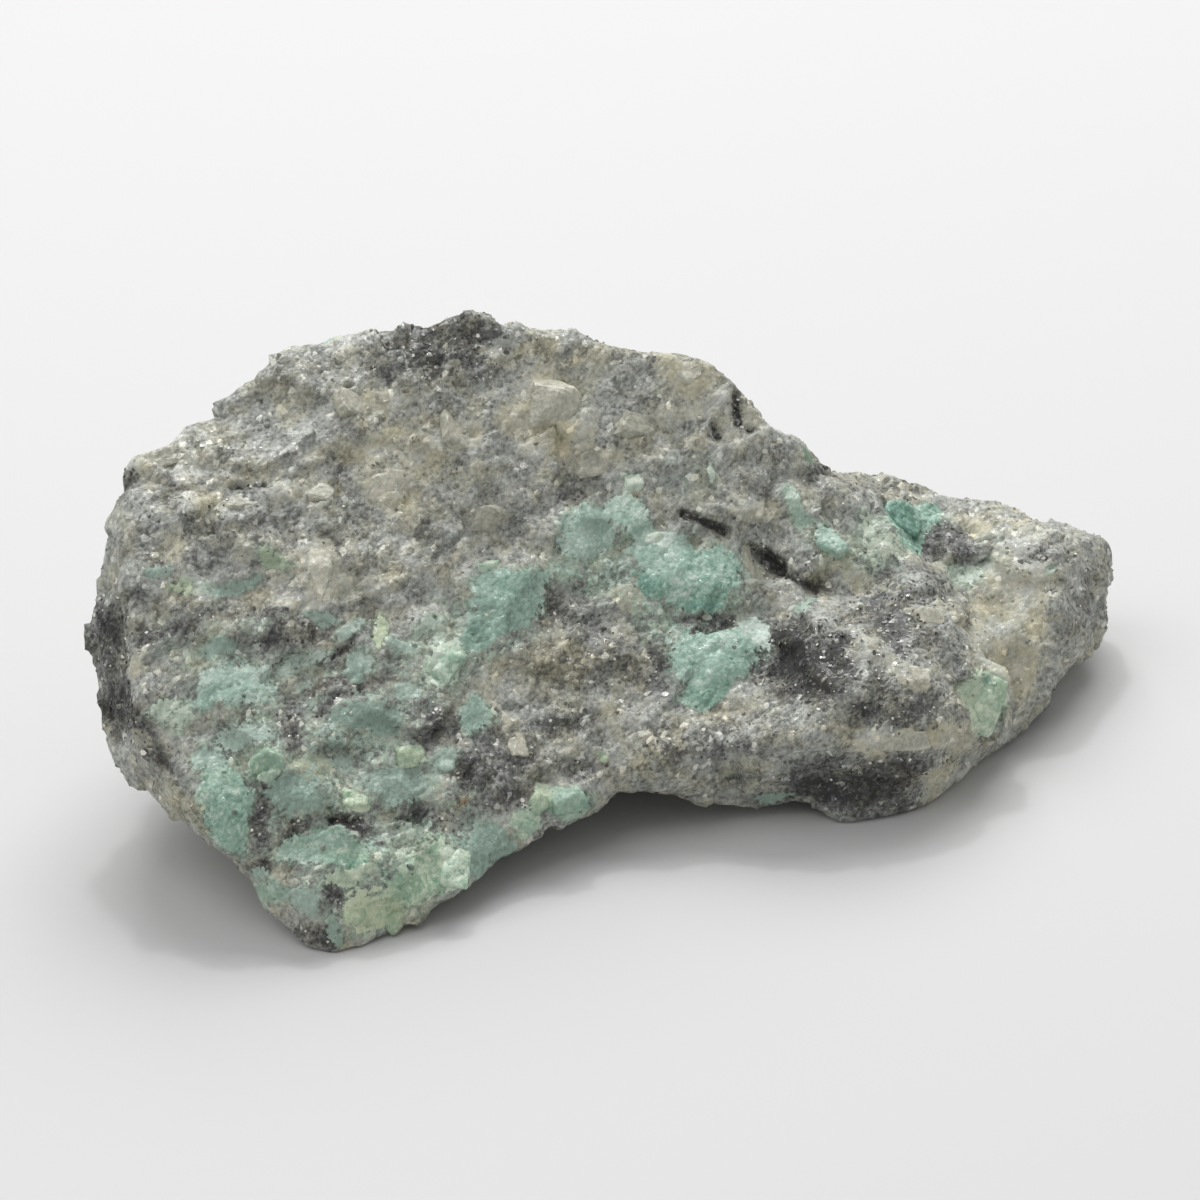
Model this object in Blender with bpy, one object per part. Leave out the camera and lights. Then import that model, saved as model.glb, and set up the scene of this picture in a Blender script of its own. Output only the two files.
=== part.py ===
"""Rough emerald: a broken lump of grey mica schist with green beryl grown through it.

It is one natural piece, so it is one solid. Its corners are drawn as an eye that looks down on it
sees them: how far across, how far up and how deep each one is from the tip that it stands on. Flat
faces join the corners. Masses of beryl swell out of the faces, seeded lumps and flakes break them
up, a few prisms stand out, and the feet are ground flat where the stone rests.
"""

import math

import bmesh
import bpy
import numpy as np
from mathutils import Matrix, Vector, noise
from mathutils.bvhtree import BVHTree
from mathutils.geometry import delaunay_2d_cdt

# Every size is in millimetres until the stone is finished.
MM = 0.001

# How the eye sees the drawn corners: it looks down by this angle, from this distance to a point
# that is this deep and this far up. What is nearer is drawn larger.
SIGHT_DOWN = math.radians(30)
EYE_DISTANCE = 380.0
SIGHT_DEEP = 19.0
SIGHT_UP = 27.8
# How far the surface that the stone stands on is above the point that depths are counted from.
GROUND = 1.4

# The outline, clockwise from the tip: across, up, deep, and how thick the stone's edge is there.
# Behind the outline the edge slopes in by this share of its thickness.
EDGE_SLOPE = 0.3
OUTLINE = [
    # the tip and the left flank
    (-22.6, 0.2, 0.2, 3.0), (-24.1, 1.5, 0.5, 4.0), (-26.6, 4.0, 1.0, 5.0), (-27.2, 6.0, 1.2, 5.0),
    (-29.2, 7.3, 1.5, 6.0), (-31.9, 9.9, 2.5, 6.0), (-35.0, 12.0, 4.5, 8.0), (-37.0, 13.4, 6.0, 9.0),
    (-38.5, 16.5, 7.5, 9.0), (-39.1, 20.0, 8.5, 7.0), (-40.1, 24.7, 8.5, 5.0),
    (-39.1, 27.8, 8.0, 5.0), (-39.4, 30.9, 8.5, 8.0), (-38.5, 33.6, 8.5, 9.0),
    (-37.3, 36.3, 8.5, 8.0), (-37.6, 37.5, 9.0, 6.0),
    # the top edge
    (-35.0, 39.8, 10.0, 5.0), (-31.1, 42.2, 11.5, 4.0), (-29.2, 43.3, 12.0, 5.0),
    (-26.8, 46.1, 13.0, 7.0), (-23.3, 47.5, 14.0, 8.0), (-18.1, 49.2, 16.0, 8.0),
    (-14.0, 49.6, 17.0, 6.0), (-9.7, 50.6, 18.0, 3.0), (-4.7, 49.1, 19.0, 4.0),
    (-1.9, 49.0, 19.5, 7.0), (0.0, 48.0, 20.0, 9.0), (3.9, 47.2, 20.5, 9.0), (7.8, 47.1, 21.0, 5.0),
    (9.7, 46.1, 21.5, 4.0), (11.7, 44.3, 22.0, 5.0), (13.6, 41.4, 23.0, 4.0),
    (15.6, 40.1, 24.0, 4.0), (16.7, 39.6, 25.0, 3.0), (17.3, 38.0, 26.5, 2.0),
    # the tail
    (18.6, 38.1, 31.0, 3.0), (23.3, 37.5, 32.0, 3.0), (27.2, 36.3, 32.0, 6.0),
    (31.1, 35.3, 32.0, 7.0), (34.2, 34.2, 32.0, 5.0), (38.5, 33.2, 33.0, 3.0),
    (39.5, 32.1, 34.0, 4.0), (39.9, 30.1, 35.0, 6.0), (39.8, 27.8, 35.0, 7.0),
    (39.3, 24.3, 34.0, 5.0), (37.3, 23.1, 32.0, 5.0), (35.4, 20.4, 29.0, 5.0),
    (33.1, 17.3, 26.0, 4.0), (30.0, 15.2, 23.0, 4.0),
    # the right foot
    (28.0, 13.6, 20.0, 2.0), (25.3, 11.3, 17.6, 2.0), (23.3, 10.6, 16.6, 2.0),
    (18.9, 10.0, 15.2, 2.0), (17.8, 10.2, 15.0, 2.0), (17.1, 11.4, 15.2, 2.0),
    (15.2, 11.9, 15.2, 2.0), (12.1, 11.8, 15.8, 2.0), (11.5, 11.1, 14.8, 2.0),
    (9.3, 11.2, 14.0, 1.5), (7.0, 12.0, 13.4, 1.5),
    # the arch between the foot and the tip
    (3.1, 13.0, 11.6, 1.0), (1.6, 13.0, 11.0, 1.0), (-0.8, 11.1, 9.5, 1.0), (-4.3, 9.1, 7.5, 1.0),
    (-7.4, 7.6, 6.0, 1.0), (-8.9, 6.1, 4.5, 1.0), (-11.3, 4.1, 3.5, 1.0), (-14.8, 2.2, 2.0, 1.0),
    (-17.9, 0.7, 0.8, 1.5), (-20.4, -0.3, 0.0, 2.5),
]

# Corners of the side that the eye sees: across, up, deep.
FRONT = [
    # the border between the broad face and the left flank
    (-36.8, 37.0, 6.0), (-37.2, 31.5, 4.2), (-36.6, 25.4, 2.6), (-36.0, 19.0, 1.2),
    (-31.5, 12.0, 0.2), (-27.0, 8.0, -0.4), (-22.0, 3.6, -1.2),
    # the broad face
    (-28.0, 21.0, 2.8), (-24.0, 13.0, 0.6), (-18.0, 7.5, 0.6), (-11.0, 9.0, 4.2),
    (-20.0, 25.0, 6.4), (-13.0, 18.0, 6.4), (-29.5, 33.0, 6.0), (-22.0, 38.5, 10.0),
    (-24.5, 45.2, 12.6), (-12.0, 33.0, 12.4), (-12.0, 45.5, 15.4), (-5.0, 24.5, 12.0),
    (-3.0, 15.8, 9.8), (-2.0, 40.0, 18.0), (2.5, 32.0, 16.6), (4.5, 21.5, 13.4),
    (8.0, 43.0, 20.6), (9.5, 34.0, 19.6),
    # the ridge under the broad face, from the arch to the bulge
    (3.2, 15.0, 10.0), (8.5, 16.6, 10.6), (16.0, 16.6, 9.8), (22.0, 16.8, 11.0),
    (26.4, 15.8, 13.4), (29.6, 17.6, 17.0),
    # the valley between the broad face and the bulge
    (8.0, 25.5, 16.2), (12.6, 26.6, 18.8), (13.0, 22.8, 16.2), (11.0, 19.6, 13.2),
    # the step above the bulge: the layer's broken edge, and the floor below it
    (12.2, 32.4, 19.6), (16.5, 30.0, 19.6), (20.5, 28.6, 20.2), (13.0, 31.3, 21.4),
    (16.9, 29.0, 21.4), (20.6, 27.6, 20.4),
    # the bulge
    (16.2, 25.4, 15.0), (16.6, 21.2, 12.0), (20.6, 25.0, 13.8), (20.8, 20.6, 10.8),
    (24.6, 24.8, 14.8), (25.0, 20.2, 12.2), (28.2, 25.6, 18.0), (29.0, 21.4, 16.8),
    # the pale slope behind the bulge, up to its own skyline
    (15.5, 35.6, 22.6), (18.6, 36.8, 25.0), (21.2, 34.8, 25.2), (23.2, 31.7, 23.4),
    (27.5, 28.1, 21.4), (29.7, 24.4, 19.8), (20.2, 31.4, 22.0),
    # the tail, behind that skyline
    (22.1, 35.6, 30.0), (24.2, 32.5, 28.2), (28.4, 28.8, 26.4), (30.7, 24.8, 24.4),
    (31.6, 33.2, 29.2), (35.6, 31.6, 27.2), (36.0, 25.0, 25.2), (34.6, 20.8, 25.0),
    (31.6, 19.6, 22.0),
]

# Corners of the back and of the underside: right, back and height above the ground.
BACK = [
    # the underside, from the tip to the foot
    (-20.5, 7.0, 1.0), (-14.0, 11.0, 3.4), (-4.0, 18.0, 4.6), (7.0, 24.0, 3.6),
    (19.5, 23.0, 1.6), (26.0, 26.0, 2.2), (-27.0, 16.0, 5.0), (-16.0, 28.0, 3.0),
    (0.0, 33.0, 3.4), (16.0, 35.0, 2.6), (32.0, 37.0, 3.6),
    # the back edge that the stone rests on
    (-21.0, 40.0, -0.6), (-10.0, 43.0, -0.5), (12.0, 45.0, 1.6), (27.0, 45.5, 2.0),
    # the back wall
    (-35.0, 23.0, 12.0), (-32.0, 33.0, 10.0), (-33.0, 30.0, 22.0), (-27.0, 41.5, 15.0),
    (-22.0, 42.5, 24.0), (-14.0, 47.5, 12.0), (-12.0, 46.0, 21.0), (-3.0, 44.5, 16.0),
    (-2.0, 46.5, 27.0), (6.0, 46.5, 10.0), (5.0, 48.5, 20.0), (12.0, 46.5, 26.0),
    (16.0, 45.0, 15.0), (22.0, 49.0, 9.0), (30.0, 48.0, 5.0), (33.0, 51.0, 10.0),
]

# Masses that swell out of the surface, and hollows in it: the middle as the eye sees it (across,
# up), half the length, half the width, the length's turn from the horizontal in degrees, and how
# far it rises. The back ones are placed as the eye would see them through the stone.
FRONT_SWELLS = [
    # beryl on the broad face
    (6.6, 29.7, 4.4, 2.8, -35, 0.7), (9.0, 23.3, 4.0, 2.2, 8, 1.1), (-6.6, 28.9, 2.8, 2.4, 0, 0.4),
    (-8.9, 25.8, 3.0, 2.0, 40, 0.4), (-12.6, 22.7, 2.2, 1.8, 0, 0.5), (-28.0, 20.8, 3.6, 2.2, 0, 0.5),
    # beryl towards the tip
    (-29.2, 12.2, 4.6, 2.0, 100, 0.9), (-25.8, 14.9, 1.6, 1.5, 0, 0.8), (-19.1, 12.2, 1.3, 1.2, 0, 0.6),
    (-23.0, 12.4, 2.2, 1.6, 0, 0.5), (-15.9, 12.6, 2.6, 2.0, 0, 0.4), (-14.8, 7.2, 5.0, 2.6, 25, 0.7),
    # beryl behind the bulge, and the pale blotch high on the face
    (17.7, 33.2, 2.4, 1.1, -45, 0.6), (14.8, 35.5, 1.8, 1.1, -30, 0.5), (-4.3, 41.4, 3.4, 2.6, 20, 0.4),
    # hollows where softer mica has broken out
    (13.6, 30.0, 2.6, 1.2, -30, -0.7), (-21.0, 37.9, 3.4, 1.6, 30, -0.5),
    (-27.2, 28.9, 4.2, 1.2, 5, -0.6), (-2.4, 36.4, 3.0, 1.3, 40, -0.4), (20.6, 18.6, 2.4, 0.9, 5, -0.5),
]
BACK_SWELLS = [
    (-14.0, 36.0, 5.0, 2.8, 30, 0.9), (-4.0, 28.0, 3.2, 2.4, 0, 0.7), (10.0, 35.0, 4.6, 2.4, 150, 0.8),
    (30.0, 29.0, 3.0, 2.2, 60, 0.6), (-28.0, 27.0, 3.4, 2.2, 75, 0.8), (-18.0, 24.0, 4.0, 1.8, 20, -0.7),
    (2.0, 41.0, 4.0, 1.6, 10, -0.6), (20.0, 30.0, 3.6, 1.6, 140, -0.6),
]

# Beryl prisms that stand out of the rock: the middle as the eye sees it (across, up), the prism's
# width and length, its length's turn from the horizontal and its tip out of the rock in degrees,
# and how far its face stands out.
FRONT_PRISMS = [
    (30.0, 20.0, 4.4, 5.4, 65, 4, 1.3), (24.0, 34.2, 3.6, 3.0, 110, 8, 0.8),
    (-11.2, 6.9, 3.2, 2.8, 30, 14, 0.8), (-13.6, 5.2, 3.0, 3.2, 70, 8, 0.6),
    (-5.0, 12.0, 2.6, 2.8, 75, 12, 0.5), (-2.4, 12.4, 2.4, 2.4, 20, 12, 0.5),
]
BACK_PRISMS = [
    (-13.0, 37.0, 4.6, 6.4, 30, 4, 0.9), (-9.0, 34.5, 3.6, 4.0, 80, 6, 0.7),
    (10.0, 35.5, 4.0, 5.0, 160, 4, 0.8),
]

# The broken surface: how far apart the lumps, flakes and chips are and how much they rise or lean.
LUMP_SPACING = 11.0
LUMP_HEIGHT = 0.6
FLAKE_SPACING = 5.5
FLAKE_LEAN = 0.24
CHIP_SPACING = 2.8
CHIP_LEAN = 0.24
# Flakes that lie side by side read their lean from places this many times further apart.
LEAN_SPREAD = 5.37
# The noise is the same each time, because it starts from this number.
SEED = 7
# The schist's grain runs up to the right across the broad face, and flakes are longer that way.
GRAIN_TURN = math.radians(42)
GRAIN_STRETCH = 1.7
# The surface is left plain near the ground, so that the feet stay where they are drawn, and nearly
# plain along the outline, so that it keeps its course.
PLAIN_BELOW = 3.0
EDGE_BAND = 2.5
EDGE_SHARE = 0.3

# The size of the skin's faces before they are thinned out, and about how many are left.
SKIN_STEP = 0.8
TRIANGLES = 8600
# The side of the block that grinds the feet flat.
GRINDER = 200.0
NODE = "rough_emerald"


def clear_scene():
    for old in list(bpy.data.objects):
        bpy.data.objects.remove(old, do_unlink=True)


def seen_corner(across, up, deep):
    """Right, back and height above the ground of a corner that is drawn as the eye sees it."""
    growth = 1 + (deep - SIGHT_DEEP) / EYE_DISTANCE
    rise = SIGHT_UP + (up - SIGHT_UP) * growth
    back = rise * math.sin(SIGHT_DOWN) + deep * math.cos(SIGHT_DOWN)
    height = rise * math.cos(SIGHT_DOWN) - deep * math.sin(SIGHT_DOWN) - GROUND
    return Vector((across * growth, back, height))


def as_seen(points):
    """How far across and up the eye sees an array of points."""
    height = points[:, 2] + GROUND
    rise = points[:, 1] * math.sin(SIGHT_DOWN) + height * math.cos(SIGHT_DOWN)
    deep = points[:, 1] * math.cos(SIGHT_DOWN) - height * math.sin(SIGHT_DOWN)
    growth = 1 + (deep - SIGHT_DEEP) / EYE_DISTANCE
    return points[:, 0] / growth, SIGHT_UP + (rise - SIGHT_UP) / growth


def on_picture(point):
    """The point's place on a plane square to the line of sight."""
    rise = point.y * math.sin(SIGHT_DOWN) + (point.z + GROUND) * math.cos(SIGHT_DOWN)
    return Vector((point.x, rise))


def sight_line():
    return Vector((0, math.cos(SIGHT_DOWN), -math.sin(SIGHT_DOWN)))


def as_object(mesh, name):
    data = bpy.data.meshes.new(name)
    mesh.to_mesh(data)
    mesh.free()
    made = bpy.data.objects.new(name, data)
    bpy.context.scene.collection.objects.link(made)
    return made


def applied(target):
    """Bakes the object's modifiers into its mesh."""
    graph = bpy.context.evaluated_depsgraph_get()
    target.data = bpy.data.meshes.new_from_object(target.evaluated_get(graph))
    target.modifiers.clear()


def vertex_places(target):
    places = np.empty(len(target.data.vertices) * 3)
    target.data.vertices.foreach_get("co", places)
    return places.reshape(-1, 3)


def skin_normals(target, points):
    """The way out at each point of a skin of four-sided faces: the mean over the faces around it."""
    corners = np.empty(len(target.data.loops), dtype=np.int32)
    target.data.loops.foreach_get("vertex_index", corners)
    corners = corners.reshape(-1, 4)
    first, second, third, fourth = (points[corners[:, i]] for i in range(4))
    outward = np.cross(third - first, fourth - second)
    normals = np.zeros_like(points)
    for i in range(4):
        np.add.at(normals, corners[:, i], outward)
    return normals / np.linalg.norm(normals, axis=1, keepdims=True)


def add_sheet(mesh, rim, corners):
    """Flat triangles that fill the rim and pass through every corner."""
    points = rim + [mesh.verts.new(corner) for corner in corners]
    count = len(rim)
    edges = [(i, (i + 1) % count) for i in range(count)]
    flat = [on_picture(point.co) for point in points]
    _, _, faces, origin, _, _ = delaunay_2d_cdt(flat, edges, [], 1, 1e-4)
    for face in faces:
        mesh.faces.new([points[origin[index][0]] for index in face])


def far_edge(fronts):
    """The outline's points moved back by the edge's thickness, and in by its slope."""
    points = []
    count = len(fronts)
    for i, (point, corner) in enumerate(zip(fronts, OUTLINE)):
        course = fronts[(i + 1) % count] - fronts[i - 1]
        inward = sight_line().cross(course).normalized()
        points.append(point + (sight_line() + inward * EDGE_SLOPE) * corner[3])
    return points


def corner_block():
    """The stone as flat faces between its corners."""
    mesh = bmesh.new()
    fronts = [seen_corner(*corner[:3]) for corner in OUTLINE]
    near = [mesh.verts.new(point) for point in fronts]
    far = [mesh.verts.new(point) for point in far_edge(fronts)]
    add_sheet(mesh, near, [seen_corner(*corner) for corner in FRONT])
    add_sheet(mesh, far, [Vector(corner) for corner in BACK])
    for i in range(len(near)):
        j = (i + 1) % len(near)
        mesh.faces.new([near[i], near[j], far[j], far[i]])
    bmesh.ops.recalc_face_normals(mesh, faces=mesh.faces)
    return as_object(mesh, "block")


def reached_from(start):
    """The faces that are joined to this one, edge by edge."""
    reached = {start}
    ahead = [start]
    while ahead:
        around = {face for edge in ahead.pop().edges for face in edge.link_faces}
        ahead.extend(around - reached)
        reached |= around
    return reached


def fill_pockets(target):
    """Keeps the outer skin alone, so that no pocket is left sealed inside the stone."""
    mesh = bmesh.new()
    mesh.from_mesh(target.data)
    top = max(mesh.verts, key=lambda point: point.co.z)
    outer = reached_from(top.link_faces[0])
    inner = [face for face in mesh.faces if face not in outer]
    bmesh.ops.delete(mesh, geom=inner, context="FACES")
    mesh.to_mesh(target.data)
    mesh.free()


def reskin(target):
    """An even skin of small faces over the block."""
    skin = target.modifiers.new("skin", "REMESH")
    skin.mode = "VOXEL"
    skin.voxel_size = SKIN_STEP
    applied(target)
    fill_pockets(target)


def swelling(across, up, swells):
    """Rise of domes with a clear edge: height times the root of what is left of the radius."""
    rise = np.zeros(len(across))
    for middle_across, middle_up, length, width, turn, height in swells:
        turn = math.radians(turn)
        aside = across - middle_across
        above = up - middle_up
        lengthwise = (aside * math.cos(turn) + above * math.sin(turn)) / length
        crosswise = (above * math.cos(turn) - aside * math.sin(turn)) / width
        rise += height * np.sqrt(np.clip(1 - lengthwise**2 - crosswise**2, 0, 1))
    return rise


def outline_gap(points):
    """Distance of each point from the drawn outline."""
    corners = np.array([seen_corner(*corner[:3]) for corner in OUTLINE])
    gap = np.full(len(points), np.inf)
    for start, end in zip(corners, np.roll(corners, -1, axis=0)):
        way = end - start
        share = np.clip((points - start) @ way / (way @ way), 0, 1)
        gap = np.minimum(gap, np.linalg.norm(points - start - share[:, None] * way, axis=1))
    return gap


def along_grain(point):
    """The point with its distances along the grain shortened, so what it measures is stretched."""
    grain = Vector((math.cos(GRAIN_TURN), 0, math.sin(GRAIN_TURN)))
    grain.rotate(Matrix.Rotation(-SIGHT_DOWN, 3, "X"))
    return point - grain * point.dot(grain) * (1 - 1 / GRAIN_STRETCH)


def flakes(point, spacing, lean):
    """Height of a patchwork of flat flakes: each Voronoi cell leans its own way."""
    place = along_grain(point) / spacing
    _, centres = noise.voronoi(place)
    tilt = noise.noise_vector(centres[0] * LEAN_SPREAD)
    return (place - centres[0]).dot(tilt) * lean * spacing


def breakage(point):
    """How far lumps, flakes and chips raise the surface at a point."""
    point = Vector(point)
    rise = noise.noise(point / LUMP_SPACING) * LUMP_HEIGHT
    rise += flakes(point, FLAKE_SPACING, FLAKE_LEAN)
    return rise + flakes(point, CHIP_SPACING, CHIP_LEAN)


def roughen(target):
    """Pushes swells, lumps, flakes and chips in and out along the skin's normals."""
    points = vertex_places(target)
    normals = skin_normals(target, points)
    across, up = as_seen(points)
    in_front = normals @ np.array(sight_line()) < 0
    rise = np.array([breakage(point) for point in points])
    rise *= np.clip(outline_gap(points) / EDGE_BAND, EDGE_SHARE, 1)
    rise += np.where(
        in_front, swelling(across, up, FRONT_SWELLS), swelling(across, up, BACK_SWELLS)
    )
    rise *= np.clip(points[:, 2] / PLAIN_BELOW, 0, 1)
    moved = points + normals * rise[:, None]
    target.data.vertices.foreach_set("co", moved.ravel())
    target.data.update()


def thin_out(target):
    """Fewer, larger faces where the skin is flat."""
    target.data.calc_loop_triangles()
    fewer = target.modifiers.new("fewer", "DECIMATE")
    fewer.ratio = TRIANGLES / len(target.data.loop_triangles)
    fewer.use_collapse_triangulate = True
    applied(target)


def prism(surface, sight, across, up, width, length, turn, tip, proud):
    """A six-sided prism, half sunk in the rock where the line of sight through its middle ends."""
    start = seen_corner(across, up, SIGHT_DEEP) - sight * EYE_DISTANCE / 2
    hit, normal, _, _ = surface.ray_cast(start, sight)
    right = Vector((1, 0, 0))
    level = (right - normal * right.dot(normal)).normalized()
    lengthwise = Matrix.Rotation(math.radians(turn), 3, normal) @ level
    lengthwise.rotate(Matrix.Rotation(-math.radians(tip), 3, normal.cross(lengthwise)))
    outward = (normal - lengthwise * normal.dot(lengthwise)).normalized()
    turned = Matrix((outward, lengthwise.cross(outward), lengthwise)).transposed()
    flat_radius = width / 2 * math.cos(math.pi / 6)
    mesh = bmesh.new()
    bmesh.ops.create_cone(
        mesh, cap_ends=True, segments=6, radius1=width / 2, radius2=width / 2, depth=length
    )
    bmesh.ops.transform(mesh, matrix=turned.to_4x4(), verts=mesh.verts)
    bmesh.ops.translate(mesh, vec=hit + normal * (proud - flat_radius), verts=mesh.verts)
    return as_object(mesh, "prism")


def combine(target, tool, operation):
    """Joins the tool to the target, or cuts it away, and removes the tool."""
    join = target.modifiers.new("join", "BOOLEAN")
    join.operation = operation
    join.object = tool
    applied(target)
    bpy.data.objects.remove(tool, do_unlink=True)


def add_prisms(target):
    data = bmesh.new()
    data.from_mesh(target.data)
    surface = BVHTree.FromBMesh(data)
    data.free()
    for sight, places in ((sight_line(), FRONT_PRISMS), (-sight_line(), BACK_PRISMS)):
        for place in places:
            combine(target, prism(surface, sight, *place), "UNION")


def grind_feet(target):
    """Cuts away what is below the ground, which leaves the flat spots that the stone rests on."""
    mesh = bmesh.new()
    bmesh.ops.create_cube(mesh, size=GRINDER)
    bmesh.ops.translate(mesh, vec=(0, 0, -GRINDER / 2), verts=mesh.verts)
    combine(target, as_object(mesh, "ground"), "DIFFERENCE")


def finish(target):
    """Metres, with the origin under the middle of the stone's box."""
    mesh = bmesh.new()
    mesh.from_mesh(target.data)
    bmesh.ops.remove_doubles(mesh, verts=mesh.verts, dist=0.001)
    bmesh.ops.triangulate(mesh, faces=mesh.faces)
    mesh.to_mesh(target.data)
    mesh.free()
    points = vertex_places(target)
    low, high = points.min(axis=0), points.max(axis=0)
    middle = (low + high) / 2
    middle[2] = low[2]
    target.data.vertices.foreach_set("co", ((points - middle) * MM).ravel())
    target.data.update()
    target.name = NODE
    target.data.name = NODE


def stone_material():
    stone = bpy.data.materials.new("mica_schist_with_beryl")
    stone.use_nodes = True
    shader = stone.node_tree.nodes["Principled BSDF"]
    shader.inputs["Base Color"].default_value = (0.23, 0.25, 0.22, 1)
    shader.inputs["Roughness"].default_value = 0.6
    shader.inputs["Metallic"].default_value = 0
    return stone


def main():
    clear_scene()
    noise.seed_set(SEED)
    stone = corner_block()
    reskin(stone)
    roughen(stone)
    thin_out(stone)
    add_prisms(stone)
    grind_feet(stone)
    finish(stone)
    stone.data.materials.clear()
    stone.data.materials.append(stone_material())


if __name__ == "__main__":
    main()
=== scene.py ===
"""Finish and stage for a rough emerald: a broken lump of grey mica schist with green beryl in it.

Run as a script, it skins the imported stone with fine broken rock, sets beryl crystals, quartz grains
and mica flakes in that skin, and puts the stone under soft studio light.
"""

import math

import bpy
import numpy as np
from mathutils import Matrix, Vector
from mathutils.bvhtree import BVHTree


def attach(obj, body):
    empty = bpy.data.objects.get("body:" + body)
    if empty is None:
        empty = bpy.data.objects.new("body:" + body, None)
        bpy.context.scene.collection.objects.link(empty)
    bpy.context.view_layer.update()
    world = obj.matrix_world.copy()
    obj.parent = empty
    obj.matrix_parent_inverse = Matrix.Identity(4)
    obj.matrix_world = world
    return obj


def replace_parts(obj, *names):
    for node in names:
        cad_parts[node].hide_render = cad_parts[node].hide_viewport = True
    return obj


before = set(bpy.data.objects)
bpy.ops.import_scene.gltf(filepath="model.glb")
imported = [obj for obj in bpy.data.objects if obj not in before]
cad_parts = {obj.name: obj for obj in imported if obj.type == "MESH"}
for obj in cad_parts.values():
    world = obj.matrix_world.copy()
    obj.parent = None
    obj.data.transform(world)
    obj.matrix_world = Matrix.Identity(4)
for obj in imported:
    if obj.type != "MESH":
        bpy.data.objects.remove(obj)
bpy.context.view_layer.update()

bl_info = {
    "name": "Rough emerald",
    "version": (1, 0, 0),
    "blender": (4, 5, 0),
    "location": "3D View > Sidebar > Emerald",
    "description": "Skins a packed stone with mica schist and green beryl",
    "category": "Object",
}

NODE = "rough_emerald"
# The sizes and places below are in millimetres, and this makes them metres.
MM = 0.001

# The view that the places below were read in: a square picture, what one of its pixels covers at
# the aim, how far the eye is from the aim, and how steeply it looks down.
PICTURE = 1200
PIXEL = 0.0778
EYE_DISTANCE = 380.0
SIGHT_DOWN = math.radians(30)
AIM = np.array((-1.4, 4.64, 13.18))
RIGHT = np.array((1.0, 0.0, 0.0))
SIGHT = np.array((0.0, math.cos(SIGHT_DOWN), -math.sin(SIGHT_DOWN)))
UP = np.array((0.0, math.sin(SIGHT_DOWN), math.cos(SIGHT_DOWN)))
EYE = AIM - SIGHT * EYE_DISTANCE

# The schist's grain, as parts of right, up and away in that view, and how much longer its grains
# are that way.
GRAIN = RIGHT * 0.67 + UP * 0.74 + SIGHT * 0.37
GRAIN = GRAIN / np.linalg.norm(GRAIN)
GRAIN_STRETCH = 1.15

# How the rims of the masses and patches waver: the width of the waves in millimetres, how many pixels
# they reach, and the first seed.
WAVER = ((3.2, 12, 31), (1.3, 6, 33))

# The broken relief: how wide the coarse and the fine facets are and how steeply they lean, and how wide
# and how high the roughness is along the grain and all over.
COARSE_FACETS = (3.8, 0.32)
FINE_FACETS = (1.9, 0.22)
GRAIN_WIDTH, GRAIN_HEIGHT = 1.1, 0.08
ROUGH_WIDTH, ROUGH_HEIGHT = 0.7, 0.07

# Typical radius of a quartz grain and of a mica flake, half a flake's thickness, and how far above the
# floor the first ones are.
GRAIN_RADIUS = 0.16
FLAKE_RADIUS = 0.11
FLAKE_THICKNESS = 0.02
CLEAR_OF_FLOOR = 0.6

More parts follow.
